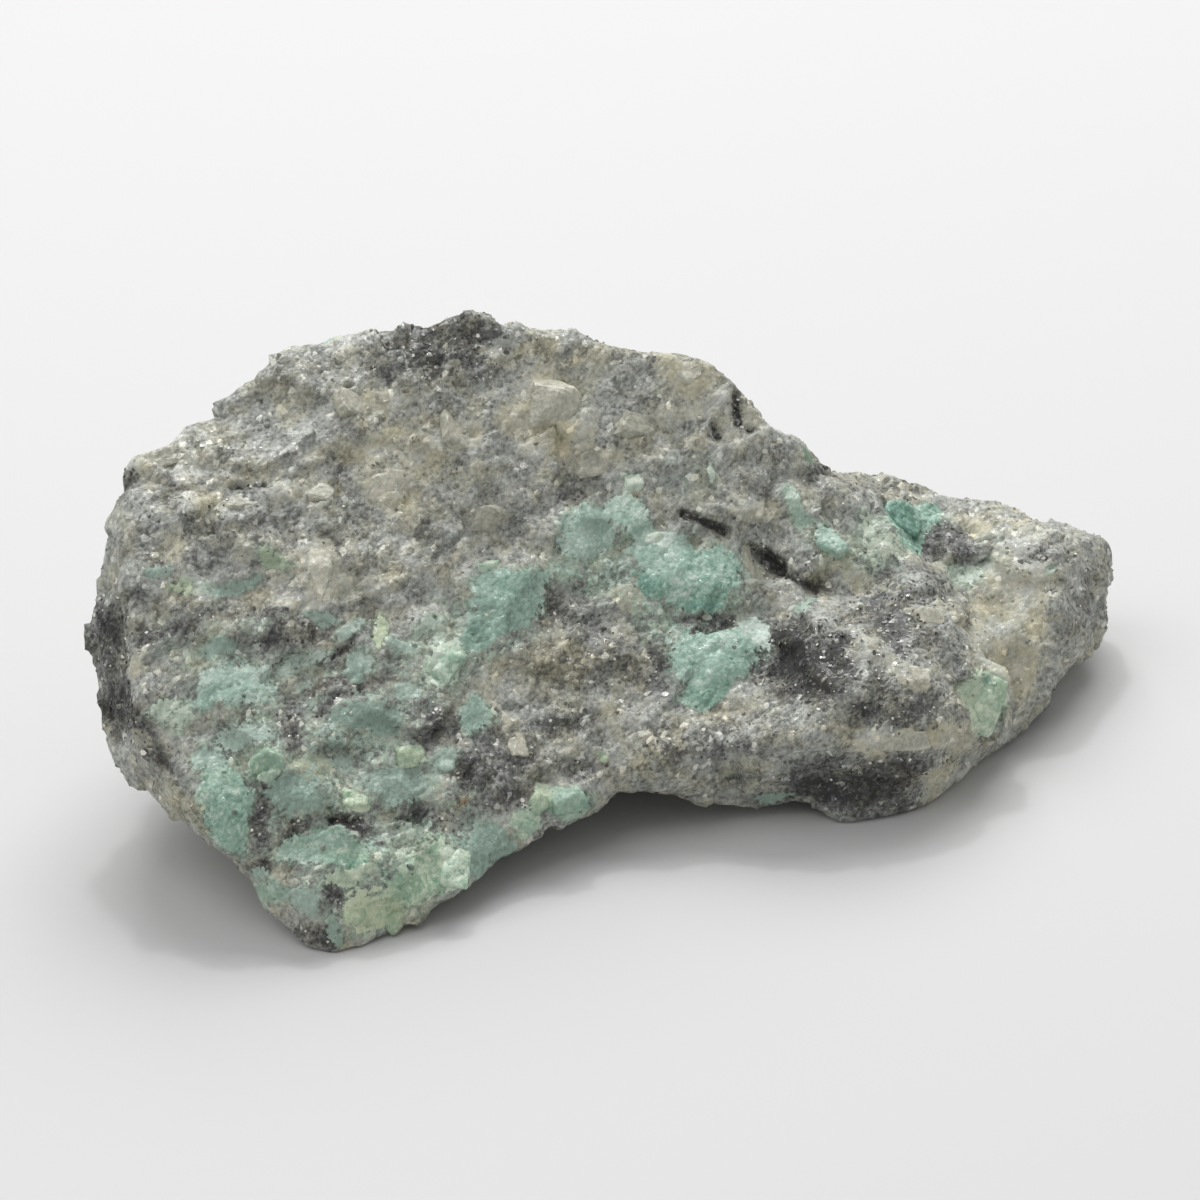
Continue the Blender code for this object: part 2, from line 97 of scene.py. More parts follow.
# Masses of beryl in the side that the picture shows: pixels across and down, half length and half
# width in pixels, the length's turn from the horizontal in degrees, how light the green is, how
# strong it is, and how far it leans to yellow.
BERYL_SEEN = [
    # the main mass on the broad face, with its lighter head and its grey-green left side
    (690, 575, 46, 36, -35, 0.6, 1.0, 0.0), (628, 518, 22, 28, 70, 0.7, 0.7, 0.1),
    (588, 532, 34, 26, 0, 0.42, 0.5, 0.0), (655, 578, 22, 20, 0, 0.25, 1.0, 0.0),
    (706, 597, 26, 20, 0, 0.36, 1.1, 0.1), (665, 540, 30, 14, -10, 0.8, 0.7, 0.0),
    (655, 550, 36, 22, -38, 0.55, 0.8, 0.0),
    # the mass below it
    (718, 656, 52, 32, 15, 0.5, 0.8, 0.0), (750, 640, 24, 14, 20, 0.95, 0.8, 0.0),
    (705, 688, 30, 12, 10, 0.32, 0.9, 0.2),
    # the dark streak in the middle, and the pale one at its end
    (508, 600, 54, 31, 35, 0.26, 0.6, 0.0), (510, 583, 22, 16, 0, 0.45, 0.8, 0.0),
    (478, 632, 26, 16, 40, 0.28, 0.7, 0.0), (442, 664, 26, 18, 60, 0.9, 0.9, 0.4),
    # small masses around the streak's end
    (370, 636, 20, 9, 80, 0.9, 0.6, 1.0), (343, 637, 18, 11, 10, 0.5, 0.25, 0.0),
    (396, 641, 18, 12, 0, 0.35, 0.4, 0.0), (350, 673, 18, 17, 30, 0.55, 0.4, 0.0),
    (304, 662, 30, 10, 5, 0.6, 0.2, 0.0), (408, 698, 18, 14, 0, 0.45, 0.35, 0.0),
    (472, 716, 18, 20, 0, 0.4, 0.5, 0.0), (420, 625, 24, 9, 10, 0.6, 0.2, 0.2),
    # the left part of the broad face
    (235, 683, 46, 26, 10, 0.6, 0.6, 0.0), (213, 694, 26, 16, 10, 0.35, 0.7, 0.0),
    (172, 710, 28, 18, 10, 0.75, 0.3, 0.3), (222, 653, 34, 6, 5, 0.15, 0.4, 0.0),
    (320, 621, 22, 7, 0, 0.4, 0.3, 0.0), (228, 588, 32, 8, 15, 0.25, 0.35, 0.0),
    (272, 560, 26, 14, -15, 0.4, 0.25, 0.9), (155, 566, 18, 8, 0, 0.05, 0.35, 0.0),
    (182, 587, 18, 10, 0, 0.25, 0.1, 1.0), (250, 735, 34, 12, 0, 0.4, 0.3, 0.0),
    # the way down to the tip
    (215, 757, 26, 20, 20, 0.3, 0.4, 0.0), (226, 808, 54, 27, -75, 0.46, 0.85, 0.2),
    (267, 766, 17, 17, 0, 0.62, 0.7, 0.5), (292, 800, 32, 24, 0, 0.15, 0.5, 0.0),
    (354, 800, 13, 11, 0, 0.8, 0.8, 0.8), (412, 757, 16, 12, 0, 0.9, 0.7, 0.9),
    (444, 761, 16, 14, 0, 0.7, 0.5, 0.1), (365, 724, 38, 17, 8, 0.12, 0.45, 0.0),
    (402, 786, 38, 26, 0, 0.18, 0.4, 0.0), (350, 765, 22, 12, 0, 0.3, 0.3, 0.0),
    # the tip and the edge to its right
    (322, 850, 48, 20, 8, 0.55, 0.75, 0.2), (349, 853, 20, 16, 0, 0.4, 1.0, 0.5),
    (276, 899, 20, 18, 0, 0.5, 0.6, 0.3), (302, 902, 20, 14, 0, 0.3, 0.3, 0.0),
    (332, 928, 12, 20, 0, 0.12, 0.4, 0.2), (262, 872, 12, 12, 0, 0.4, 0.3, 0.0),
    (426, 870, 46, 24, 20, 0.6, 1.0, 0.7), (458, 866, 22, 15, 80, 1.0, 1.0, 0.5),
    (384, 904, 34, 24, 10, 0.9, 0.6, 1.0), (484, 850, 24, 24, 0, 0.28, 0.5, 0.0),
    (525, 826, 18, 14, 0, 0.75, 0.7, 0.5), (537, 800, 14, 14, 0, 0.85, 0.8, 0.8),
    (566, 802, 24, 18, 0, 0.55, 0.7, 0.3), (346, 880, 26, 10, 10, 0.7, 0.4, 0.7),
    # chips on the broad face
    (654, 538, 13, 7, -10, 1.15, 0.5, 0.3), (634, 484, 10, 9, 0, 1.15, 0.5, 0.4),
    (709, 478, 7, 9, 0, 0.85, 0.7, 0.3), (488, 566, 12, 7, 20, 1.0, 0.7, 0.5),
    # behind the step
    (790, 505, 20, 13, -40, 0.5, 0.5, 0.2), (826, 535, 28, 14, -42, 0.85, 0.8, 0.1),
    (805, 460, 9, 8, 0, 0.05, 0.6, 0.8), (806, 611, 13, 8, 0, 0.6, 0.2, 0.0),
    # the tail
    (906, 518, 26, 17, -15, 0.4, 1.3, 0.1), (910, 536, 12, 14, 0, 0.45, 1.2, 0.1),
    (880, 545, 40, 28, -50, 0.55, 0.0, 0.4), (962, 574, 26, 14, 0, 0.8, 0.35, 0.2),
    (1047, 571, 9, 7, 0, 0.75, 0.3, 0.2), (984, 702, 22, 36, 10, 0.9, 0.8, 0.7),
    (982, 681, 8, 11, 0, 0.35, 0.9, 0.2), (770, 790, 24, 10, 0, 0.2, 0.4, 0.0),
    (600, 752, 6, 9, 0, 0.3, 0.3, 1.0),
]

# Patches rich in dark mica, and a few that paint shade in a cleft, a crease and under the bulge: pixels
# across and down, half length, half width, turn, and how dark.
DARK_MICA_AND_SHADE_SEEN = [
    # the top edge and the left flank
    (448, 348, 54, 34, 0, 0.75), (400, 365, 30, 16, 0, 0.5), (110, 640, 40, 14, -85, 1.2),
    (122, 700, 40, 16, -70, 1.15), (148, 745, 34, 14, -50, 0.95), (145, 628, 14, 14, 0, 1.0),
    (190, 628, 26, 8, 10, 0.5), (240, 620, 40, 10, -5, 0.5), (290, 638, 36, 8, 10, 0.5),
    (335, 655, 24, 6, 30, 0.6), (578, 494, 12, 22, 0, 0.5), (128, 478, 8, 8, 0, 0.8),
    (90, 560, 8, 20, -80, 0.5), (215, 470, 40, 6, 30, 0.4), (320, 543, 6, 6, 0, 1.0),
    # between the masses of beryl
    (290, 722, 12, 26, 0, 0.6), (345, 692, 44, 6, 5, 0.6), (330, 712, 24, 6, 30, 0.6),
    (440, 812, 40, 12, 0, 0.5), (448, 728, 24, 16, 0, 0.6), (478, 765, 24, 20, 0, 0.6),
    (347, 821, 14, 5, 0, 1.0), (264, 815, 7, 30, 0, 0.6), (268, 863, 12, 10, 0, 0.9),
    (318, 937, 24, 14, 0, 0.9), (334, 898, 12, 12, 0, 0.6), (500, 802, 20, 16, 0, 0.65),
    (575, 722, 34, 9, 10, 0.6), (630, 672, 30, 22, 0, 0.4), (560, 605, 34, 24, -20, 0.5),
    # (712, 622) is painted shade in the crease above the lower mass of beryl.
    (580, 760, 20, 8, 0, 0.5), (712, 622, 26, 7, 15, 0.9), (660, 655, 8, 14, 0, 0.7),
    (300, 832, 22, 6, 30, 0.7), (520, 755, 30, 14, 20, 0.5), (232, 745, 30, 6, 10, 0.4),
    # the step, with painted shadow in the cleft under it, and the bulge
    (767, 560, 20, 8, -42, 1.0), (806, 588, 24, 6, -28, 0.6), (808, 660, 46, 34, -10, 1.5),
    (775, 640, 16, 20, 0, 0.6), (905, 620, 48, 42, 0, 0.75), (893, 622, 12, 12, 0, 0.8),
    (931, 645, 9, 9, 0, 0.8), (880, 690, 20, 20, 0, 0.6), (865, 718, 34, 9, -10, 0.6),
    # (845, 785) is the face that turns under the bulge: dark mica, and painted shade where it faces the
    # floor.
    (845, 785, 66, 22, 5, 1.3), (817, 464, 9, 5, 0, 0.7), (735, 520, 20, 6, -30, 0.4),
    # the tail
    (948, 541, 32, 14, -10, 0.7), (1037, 554, 18, 11, 0, 0.5), (1090, 600, 18, 52, 0, 0.2),
    (900, 500, 26, 5, -5, 0.3), (885, 483, 56, 9, -6, 0.45),
    # greyer parts of the broad face and of the ledge under the bulge
    (600, 660, 50, 45, 0, 0.35), (700, 740, 80, 16, 8, 0.4), (210, 520, 60, 40, 30, 0.25),
    (905, 700, 50, 26, 0, 0.35),
]

# Pale patches of quartz and feldspar, in the same way: how clear they are.
QUARTZ_SEEN = [
    (552, 418, 34, 40, 10, 1.1), (525, 425, 20, 18, 0, 0.9), (459, 432, 24, 16, 0, 0.9),
    (395, 500, 30, 18, 0, 0.8), (318, 575, 20, 30, 10, 1.0), (365, 587, 26, 12, 0, 0.9),
    (683, 368, 32, 16, -10, 0.7), (156, 458, 28, 12, 30, 0.8), (752, 418, 12, 11, 0, 0.8),
    (748, 568, 10, 30, 0, 0.9), (748, 510, 24, 12, 0, 0.9), (626, 600, 16, 12, 0, 0.9),
    (690, 737, 60, 12, 10, 0.25), (620, 770, 40, 10, 30, 0.3), (929, 616, 16, 10, 0, 1.1),
    (921, 674, 14, 12, 0, 1.1), (872, 657, 26, 12, 0, 0.9), (905, 741, 60, 8, 3, 0.9),
    (944, 783, 24, 18, 0, 0.7), (1003, 625, 88, 36, 80, 1.1), (1030, 520, 40, 8, -15, 0.3),
    (410, 440, 80, 40, 10, 0.4), (690, 415, 50, 35, 0, 0.4), (960, 730, 40, 14, 20, 0.8),
    (990, 525, 44, 10, -10, 0.6), (523, 748, 8, 8, 0, 1.1), (434, 788, 12, 10, 0, 0.9),
    (367, 869, 12, 8, 0, 0.9), (314, 764, 28, 12, -10, 0.7), (135, 663, 12, 12, 0, 0.8),
    (140, 740, 8, 20, 50, 0.5), (512, 722, 14, 9, 0, 0.8), (515, 348, 26, 12, 0, 0.6),
    (636, 422, 28, 13, 0, 0.7), (200, 512, 26, 14, 30, 0.6), (240, 480, 16, 8, 20, 0.7),
    (855, 570, 34, 14, -35, 0.6), (380, 400, 26, 10, 10, 0.7), (290, 490, 16, 10, 0, 0.6),
    (710, 400, 24, 12, 0, 0.7), (600, 460, 24, 12, 10, 0.6), (240, 560, 20, 8, 10, 0.6),
    (180, 540, 20, 14, 20, 0.6), (300, 610, 30, 9, 5, 0.6), (345, 945, 14, 8, 0, 0.7),
]

# Patches stained ochre or olive, in the same way: how strong.
STAIN_SEEN = [
    (561, 355, 30, 18, -10, 0.8), (579, 364, 10, 8, 0, 1.3), (330, 492, 11, 7, 0, 1.6),
    (330, 461, 20, 16, 0, 0.8), (274, 560, 24, 18, -40, 0.5), (178, 588, 18, 10, 0, 1.0),
    (804, 582, 16, 9, -35, 0.9), (560, 440, 14, 14, 0, 1.1), (398, 505, 30, 20, 0, 0.7),
    (195, 815, 36, 9, -25, 1.0), (550, 668, 36, 22, -20, 0.8), (310, 765, 26, 14, -20, 0.8),
    (1023, 655, 40, 42, 0, 0.2), (880, 480, 60, 16, -5, 0.4), (925, 738, 60, 12, 12, 0.6),
    (600, 752, 8, 10, 0, 1.0), (690, 365, 30, 18, 0, 0.5), (840, 560, 40, 14, -35, 0.4),
    (540, 770, 24, 10, 20, 0.7), (395, 440, 60, 24, 10, 0.4), (640, 760, 50, 12, 20, 0.4),
    (635, 500, 5, 5, 0, 4.0), (468, 800, 4, 4, 0, 4.0),
]

# Zones where the rock between the masses holds small grains of beryl, in the same way: how many.
GREENISH_SEEN = [
    (300, 760, 170, 110, 30, 1.0), (400, 860, 140, 70, 25, 1.1), (230, 650, 130, 60, -10, 0.8),
    (450, 650, 130, 60, 25, 0.9), (600, 560, 90, 60, 20, 1.0), (690, 600, 90, 90, -30, 1.0),
    (300, 575, 120, 40, 0, 0.5), (830, 540, 70, 40, -40, 0.8), (960, 540, 90, 40, -20, 0.7),
    (985, 690, 40, 60, 0, 0.7), (700, 780, 120, 20, 0, 0.6), (880, 482, 70, 20, -5, 0.6),
    (690, 480, 60, 40, 0, 0.7), (880, 560, 60, 40, -40, 0.7),
]

# Cracks and thin gaps: pixels across and down of both ends, half width in pixels, and depth.
CRACKS_SEEN = [
    (736, 396, 739, 425, 4.0, 0.6), (739, 425, 752, 430, 3.0, 0.4), (712, 424, 717, 438, 4.0, 0.4),
    (684, 512, 724, 531, 4.0, 0.55), (333, 820, 361, 819, 4.0, 0.35), (325, 665, 350, 645, 2.5, 0.15),
    (752, 546, 780, 571, 6.0, 0.75), (784, 576, 818, 590, 3.5, 0.3), (230, 486, 268, 483, 2.5, 0.3),
    (694, 634, 735, 622, 3.5, 0.3), (388, 692, 320, 700, 3.0, 0.12),
]

# Crystals that stand out of the rock: pixels across and down, half length and half width in pixels,
# turn, how light and how strong the green is, how far it leans to yellow, and whether the six-sided
# end faces out.
CRYSTALS_SEEN = [
    (824, 537, 26, 12, -42, 0.75, 0.8, 0.1, True), (902, 519, 24, 17, -25, 0.3, 1.3, 0.1, True),
    (984, 703, 30, 18, 70, 0.9, 0.8, 0.7, False), (267, 766, 16, 15, 0, 0.62, 0.7, 0.5, True),
    (354, 800, 12, 10, 0, 0.8, 0.8, 0.8, True), (457, 866, 22, 14, 75, 1.0, 1.0, 0.5, False),
    (412, 757, 14, 11, 10, 0.9, 0.7, 0.9, False), (538, 804, 11, 10, 0, 0.85, 0.8, 0.8, True),
    (523, 826, 14, 11, 30, 0.75, 0.7, 0.5, False), (654, 538, 12, 7, -10, 1.15, 0.5, 0.3, False),
    (634, 484, 9, 8, 0, 1.15, 0.5, 0.4, False), (488, 566, 11, 6, 20, 1.0, 0.7, 0.5, False),
    (444, 762, 12, 11, 0, 0.7, 0.5, 0.1, True), (568, 800, 16, 13, 20, 0.55, 0.7, 0.3, False),
    (442, 664, 20, 14, 60, 0.9, 0.9, 0.4, False), (354, 914, 11, 10, 0, 0.9, 0.6, 1.0, True),
    (394, 922, 12, 10, 0, 0.85, 0.6, 1.0, True), (351, 673, 13, 13, 0, 0.55, 0.4, 0.0, True),
]

# Blocks of quartz and feldspar: pixels across and down, half length and half width in pixels, turn,
# and how pale they are.
BLOCKS_SEEN = [
    (552, 418, 30, 26, 80, 0.3), (383, 490, 24, 16, 20, 0.34), (320, 568, 22, 14, 80, 0.38),
    (358, 402, 24, 14, 10, 0.25), (748, 566, 24, 12, 80, 0.3), (683, 368, 22, 13, -10, 0.25),
    (921, 674, 12, 10, 0, 0.36), (929, 616, 12, 9, 0, 0.34), (459, 432, 18, 13, 0, 0.28),
    (600, 462, 20, 12, 10, 0.22), (156, 458, 24, 12, 30, 0.25), (238, 500, 22, 12, 20, 0.2),
    (640, 424, 24, 13, 0, 0.22), (314, 490, 16, 12, 0, 0.28), (905, 741, 26, 9, 3, 0.25),
    (523, 748, 10, 9, 0, 0.34), (500, 520, 20, 12, -20, 0.2),
]


def linear(code):
    """The linear red, green and blue of an sRGB hex value."""
    parts = [int(code[i : i + 2], 16) / 255 for i in (1, 3, 5)]
    return tuple(part / 12.92 if part <= 0.04045 else ((part + 0.055) / 1.055) ** 2.4 for part in parts)


def size_property(name, description, default):
    """A length that a user can change."""
    return bpy.props.FloatProperty(
        name=name, description=description, default=default, min=0, subtype="DISTANCE", unit="LENGTH"
    )


def colour_property(name, description, code):
    """A colour that a user can change, given as an sRGB hex value."""
    return bpy.props.FloatVectorProperty(
        name=name, description=description, default=linear(code), min=0, max=1, subtype="COLOR", size=3
    )


class RockSettings(bpy.types.PropertyGroup):
    skin_step: size_property("Skin step", "Size of the faces of the stone's skin", 0.35 * MM)
    grain_size: size_property("Grain size", "Width of the schist's quartz and mica grains", 0.4 * MM)
    relief: bpy.props.FloatProperty(
        name="Relief", description="Strength of the broken surface", default=1.0, min=0, max=3
    )
    grain_count: bpy.props.IntProperty(
        name="Grains", description="Number of quartz grains that stand out", default=2200, min=0
    )
    flake_count: bpy.props.IntProperty(
        name="Flakes", description="Number of mica flakes", default=4500, min=0
    )
    biotite: colour_property("Biotite", "Dark mica", "#343332")
    dark_grey: colour_property("Dark grey", "Grains rich in mica", "#6B6B67")
    mid_grey: colour_property("Mid grey", "Common grains", "#A4A59D")
    light_grey: colour_property("Light grey", "Quartz grains", "#CCCCC2")
    cream: colour_property("Cream", "Brightest grains", "#EAE7DB")
    cool_tint: colour_property("Cool tint", "What clean grey grains keep of the light", "#F6F9FC")
    ochre_tint: colour_property("Ochre tint", "What iron-stained grains keep of the light", "#FDF7E2")
    rust: colour_property("Rust", "What the few rusty grains keep of the light", "#E08A4A")
    green_tint: colour_property("Green tint", "What grains beside beryl keep of the light", "#D2F0E0")


class BerylSettings(bpy.types.PropertyGroup):
    deep_green: colour_property("Deep green", "Beryl seen into", "#557D6F")
    teal: colour_property("Teal", "Beryl in the mass", "#7EA696")
    sea_green: colour_property("Sea green", "Light beryl", "#A8C5B6")
    mint: colour_property("Mint", "Cracked and thin beryl", "#D6E5DB")
    milky: colour_property("Milky", "Beryl full of fine cracks and mica", "#BCC2B8")
    warm_tint: colour_property("Warm tint", "What the yellower beryl keeps of the light", "#FFFAE2")


class StageSettings(bpy.types.PropertyGroup):
    floor: colour_property("Floor", "The surface that the stone stands on", "#CDCDCD")
    softbox_height: size_property("Softbox height", "How far the large light is above the floor", 0.7)
    softbox_side: size_property("Softbox side", "Side of the large light", 0.7)
    surround: bpy.props.FloatProperty(
        name="Surround", description="Strength of the even light from all round", default=0.41, min=0
    )


class EmeraldSettings(bpy.types.PropertyGroup):
    rock: bpy.props.PointerProperty(type=RockSettings)
    beryl: bpy.props.PointerProperty(type=BerylSettings)
    stage: bpy.props.PointerProperty(type=StageSettings)


def lattice_numbers(cells, seed):
    """A number from 0 to 1 for each cell: its three whole numbers times large primes, folded together."""
    folded = cells[..., 0] * 73856093 ^ cells[..., 1] * 19349663 ^ cells[..., 2] * 83492791
    folded = (folded ^ seed * 6291469) & 0xFFFFFFFF
    folded = (folded ^ folded >> 13) * 1274126177 & 0xFFFFFFFF
    return (folded ^ folded >> 16) / 2**32


def cloudy(points, size, seed):
    """Smooth noise from -1 to 1: a cell's eight corner numbers, each weighted by t * t * (3 - 2 * t)."""
    place = points / size
    low = np.floor(place).astype(np.int64)
    share = place - low
    share = share * share * (3 - 2 * share)
    total = np.zeros(len(points))
    for corner in np.ndindex(2, 2, 2):
        weight = np.prod(np.where(corner, share, 1 - share), axis=1)
        total += weight * lattice_numbers(low + np.array(corner), seed)
    return total * 2 - 1


def along_grain(points):
    """The points with their distances along the grain shortened, so a pattern read there is stretched."""
    return points - np.outer(points @ GRAIN, GRAIN) * (1 - 1 / GRAIN_STRETCH)


def nearest_centre(points, size, seed):
    """One centre is scattered in each cell of a lattice. Gives the offset from the nearest centre, and
    the cell that it is in.
    """
    place = points / size
    low = np.floor(place).astype(np.int64)
    nearest = np.full(len(points), np.inf)
    offset = np.zeros_like(place)
    owner = np.zeros_like(low)
    for step in np.ndindex(3, 3, 3):
        cell = low + np.array(step) - 1
        away = place - cell - np.stack([lattice_numbers(cell, seed + axis) for axis in range(3)], axis=1)
        gap = np.linalg.norm(away, axis=1)
        closer = gap < nearest
        nearest = np.where(closer, gap, nearest)
        offset[closer] = away[closer]
        owner[closer] = cell[closer]
    return offset * size, owner


def faceted(points, size, lean, seed):
    """Height of a patchwork of broken facets: each has a step of its own, and leans by the offset from
    its centre times its slope. Their rims are bent by smooth noise.
    """
    waves = np.stack([cloudy(points, size, seed + axis) for axis in range(3)], axis=1)
    bent = points + waves * size * 0.25
    offset, owner = nearest_centre(bent, size, seed)
    tilt = np.stack([lattice_numbers(owner, seed + 3 + axis) for axis in range(4)], axis=1) - 0.5
    return (np.sum(offset * tilt[:, :3], axis=1) + tilt[:, 3] * size * 0.35) * lean


def on_picture(points):
    """Pixels across and down of points: their distance from the line of sight, drawn smaller with depth."""
    away = points - EYE
    scale = EYE_DISTANCE / (away @ SIGHT) / PIXEL
    return PICTURE / 2 + (away @ RIGHT) * scale, PICTURE / 2 - (away @ UP) * scale


def under_pixel(tree, across, down):
    """The point and the normal where the line of sight through a pixel meets the stone, or the nearest
    ones to the pixel where it misses.
    """
    way = SIGHT * EYE_DISTANCE + (RIGHT * (across - PICTURE / 2) + UP * (PICTURE / 2 - down)) * PIXEL
    point, normal, _, _ = tree.ray_cast(Vector(EYE), Vector(way).normalized())
    if point is None:
        point, normal, _, _ = tree.find_nearest(Vector(EYE + way))
    return np.array(point), np.array(normal)


def spots(points, tree, places):
    """One row for each place, which says how far inside its spot each point is: one and a half less the
    distance from the middle in half lengths, half widths and depth, so the rim is at one half.
    """
    across, down = on_picture(points)
    for size, reach, seed in WAVER:
        across = across + cloudy(points, size, seed) * reach
        down = down + cloudy(points, size, seed + 1) * reach
    rows = []
    for place in places:
        middle, outward = under_pixel(tree, place[0], place[1])
        turn = math.radians(place[4])
        aside = across - place[0]
        below = down - place[1]
        lengthwise = (aside * math.cos(turn) - below * math.sin(turn)) / place[2]
        crosswise = (aside * math.sin(turn) + below * math.cos(turn)) / place[3]
        depth = (points - middle) @ outward / (max(place[2:4]) * PIXEL * 0.7 + 0.8)
        rows.append(np.clip(1.5 - np.sqrt(lengthwise**2 + crosswise**2 + depth**2), 0, 1))
    return np.array(rows)


def crack_depth(points, tree):
    """Depth of the cracks: each falls off as a bell curve with the distance from its line."""
    across, down = on_picture(points)
    depth = np.zeros(len(points))
    for ax, ay, bx, by, width, deep in CRACKS_SEEN:
        way = np.array((bx - ax, by - ay), float)
        share = np.clip(((across - ax) * way[0] + (down - ay) * way[1]) / (way @ way), 0, 1)
        gap = np.hypot(across - ax - share * way[0], down - ay - share * way[1])
        middle, outward = under_pixel(tree, (ax + bx) / 2, (ay + by) / 2)
        near = np.exp(-(((points - middle) @ outward / 3.0) ** 2))
        depth = np.maximum(depth, deep * np.exp(-((gap / width) ** 2)) * near)
    return depth


def mesh_arrays(source):
    """The mesh's points in millimetres and its triangles."""
    points = np.empty(len(source.vertices) * 3)
    source.vertices.foreach_get("co", points)
    source.calc_loop_triangles()
    triangles = np.empty(len(source.loop_triangles) * 3, dtype=np.int32)
    source.loop_triangles.foreach_get("vertices", triangles)
    return points.reshape(-1, 3) / MM, triangles.reshape(-1, 3)


def point_normals(points, triangles):
    """The mean of the triangles' normals around each point, weighted by area."""
    first, second, third = (points[triangles[:, i]] for i in range(3))
    outward = np.cross(second - first, third - first)
    normals = np.zeros_like(points)
    for axis in range(3):
        for corner in range(3):
            normals[:, axis] += np.bincount(triangles[:, corner], outward[:, axis], len(points))
    return normals / np.maximum(np.linalg.norm(normals, axis=1, keepdims=True), 1e-12)


def faired(points, triangles, rounds):
    """The points moved halfway to the mean of their neighbours, several times."""
    ends = np.concatenate([triangles[:, (0, 1)], triangles[:, (1, 2)], triangles[:, (2, 0)]])
    start, end = ends[:, 0], ends[:, 1]
    count = np.bincount(start, minlength=len(points))
    for _ in range(rounds):
        mean = np.stack([np.bincount(start, points[end, axis], len(points)) for axis in range(3)], axis=1)
        points = points + (mean / count[:, None] - points) / 2
    return points


def new_piece(name, points, faces, material, smooth):
    """A mesh object from points in millimetres and faces with an equal number of corners."""
    made = bpy.data.meshes.new(name)
    made.vertices.add(len(points))
    made.vertices.foreach_set("co", (points * MM).astype(np.float32).ravel())
    sides = faces.shape[1]
    made.loops.add(faces.size)
    made.loops.foreach_set("vertex_index", faces.astype(np.int32).ravel())
    made.polygons.add(len(faces))
    made.polygons.foreach_set("loop_start", np.arange(0, faces.size, sides, dtype=np.int32))
    made.polygons.foreach_set("use_smooth", np.full(len(faces), smooth))
    made.update(calc_edges=True)
    made.materials.append(material)
    piece = bpy.data.objects.new(name, made)
    bpy.context.scene.collection.objects.link(piece)
    return piece


def add_values(piece, name, values):
    """A number for each point, which the material reads by name."""
    made = piece.data.attributes.new(name, "FLOAT", "POINT")
    made.data.foreach_set("value", values.astype(np.float32))


def read_values(piece, name):
    """The number for each point that add_values stored."""
    values = np.empty(len(piece.data.vertices), dtype=np.float32)
    piece.data.attributes[name].data.foreach_get("value", values)
    return values


def add(tree, kind, inputs=(), stops=(), **settings):
    """Adds a node. Each input is given a value, a socket, or a node, which stands for its first output."""
    node = tree.nodes.new(kind)
    for name, value in settings.items():
        setattr(node, name, value)
    for name, value in dict(inputs).items():
        if isinstance(value, bpy.types.Node):
            value = value.outputs[0]
        if isinstance(value, bpy.types.NodeSocket):
            tree.links.new(value, node.inputs[name])
        else:
            node.inputs[name].default_value = value
    for i, (place, colour) in enumerate(stops):
        marks = node.color_ramp.elements
        mark = marks[i] if i < 2 else marks.new(place)
        mark.position = place
        mark.color = (*colour, 1)
    return node


def weighted_sum(tree, total, *terms):
    """A value, plus other values that are each multiplied by a weight."""
    for value, weight in terms:
        total = add(tree, "ShaderNodeMath", {0: value, 1: weight, 2: total}, operation="MULTIPLY_ADD")
    return total


def ranged(tree, value, low, high, start=0.0, end=1.0, **settings):
    """A value moved from the range low to high on to the range start to end, and kept in it."""
    span = {"Value": value, "From Min": low, "From Max": high, "To Min": start, "To Max": end}
    return add(tree, "ShaderNodeMapRange", span, **settings)


def mixed(tree, share, first, second, way="MIX"):
    """Two colours mixed by a share."""
    colours = {0: share, 6: first, 7: second}
    return add(tree, "ShaderNodeMix", colours, data_type="RGBA", blend_type=way).outputs[2]


def point_numbers(tree, *names):
    """The numbers that add_values stored under these names."""
    return [add(tree, "ShaderNodeAttribute", attribute_name=name).outputs["Fac"] for name in names]


def new_material(name):
    """An empty material, and its node tree."""
    material = bpy.data.materials.new(name)
    material.use_nodes = True
    material.node_tree.nodes.clear()
    return material, material.node_tree


def end_material(tree, inputs):
    """Gives the material a principled surface with these inputs."""
    add(tree, "ShaderNodeOutputMaterial", {"Surface": add(tree, "ShaderNodeBsdfPrincipled", inputs)})


def rock_patterns(tree):
    """The patterns that all the stone's materials read, in millimetres and drawn out along the grain:
    broad clouds with three numbers, sugary speckle, and separate grains with three numbers each.
    """
    rock = bpy.context.scene.rough_emerald.rock
    place = add(tree, "ShaderNodeTexCoord").outputs["Object"]
    place = add(tree, "ShaderNodeVectorMath", {0: place, "Scale": 1 / MM}, operation="SCALE")
    along = add(tree, "ShaderNodeVectorMath", {0: place, 1: GRAIN}, operation="DOT_PRODUCT")
    excess = add(tree, "ShaderNodeVectorMath",
                 {0: GRAIN * (1 - 1 / GRAIN_STRETCH), "Scale": along.outputs["Value"]}, operation="SCALE")
    place = add(tree, "ShaderNodeVectorMath", {0: place, 1: excess}, operation="SUBTRACT")
    clouds = add(tree, "ShaderNodeTexNoise", {"Vector": place, "Scale": 0.4, "Detail": 5.0,
                 "Roughness": 0.65})
    speckle = add(tree, "ShaderNodeTexNoise", {"Vector": place, "Scale": 1.2 * MM / rock.grain_size,
                  "Detail": 3.0, "Roughness": 0.7})
    grain = add(tree, "ShaderNodeTexVoronoi", {"Vector": place, "Scale": MM / rock.grain_size})
    return (
        add(tree, "ShaderNodeSeparateColor", {"Color": clouds.outputs["Color"]}).outputs,
        speckle.outputs[0],
        add(tree, "ShaderNodeSeparateColor", {"Color": grain.outputs["Color"]}).outputs,
        grain,
    )


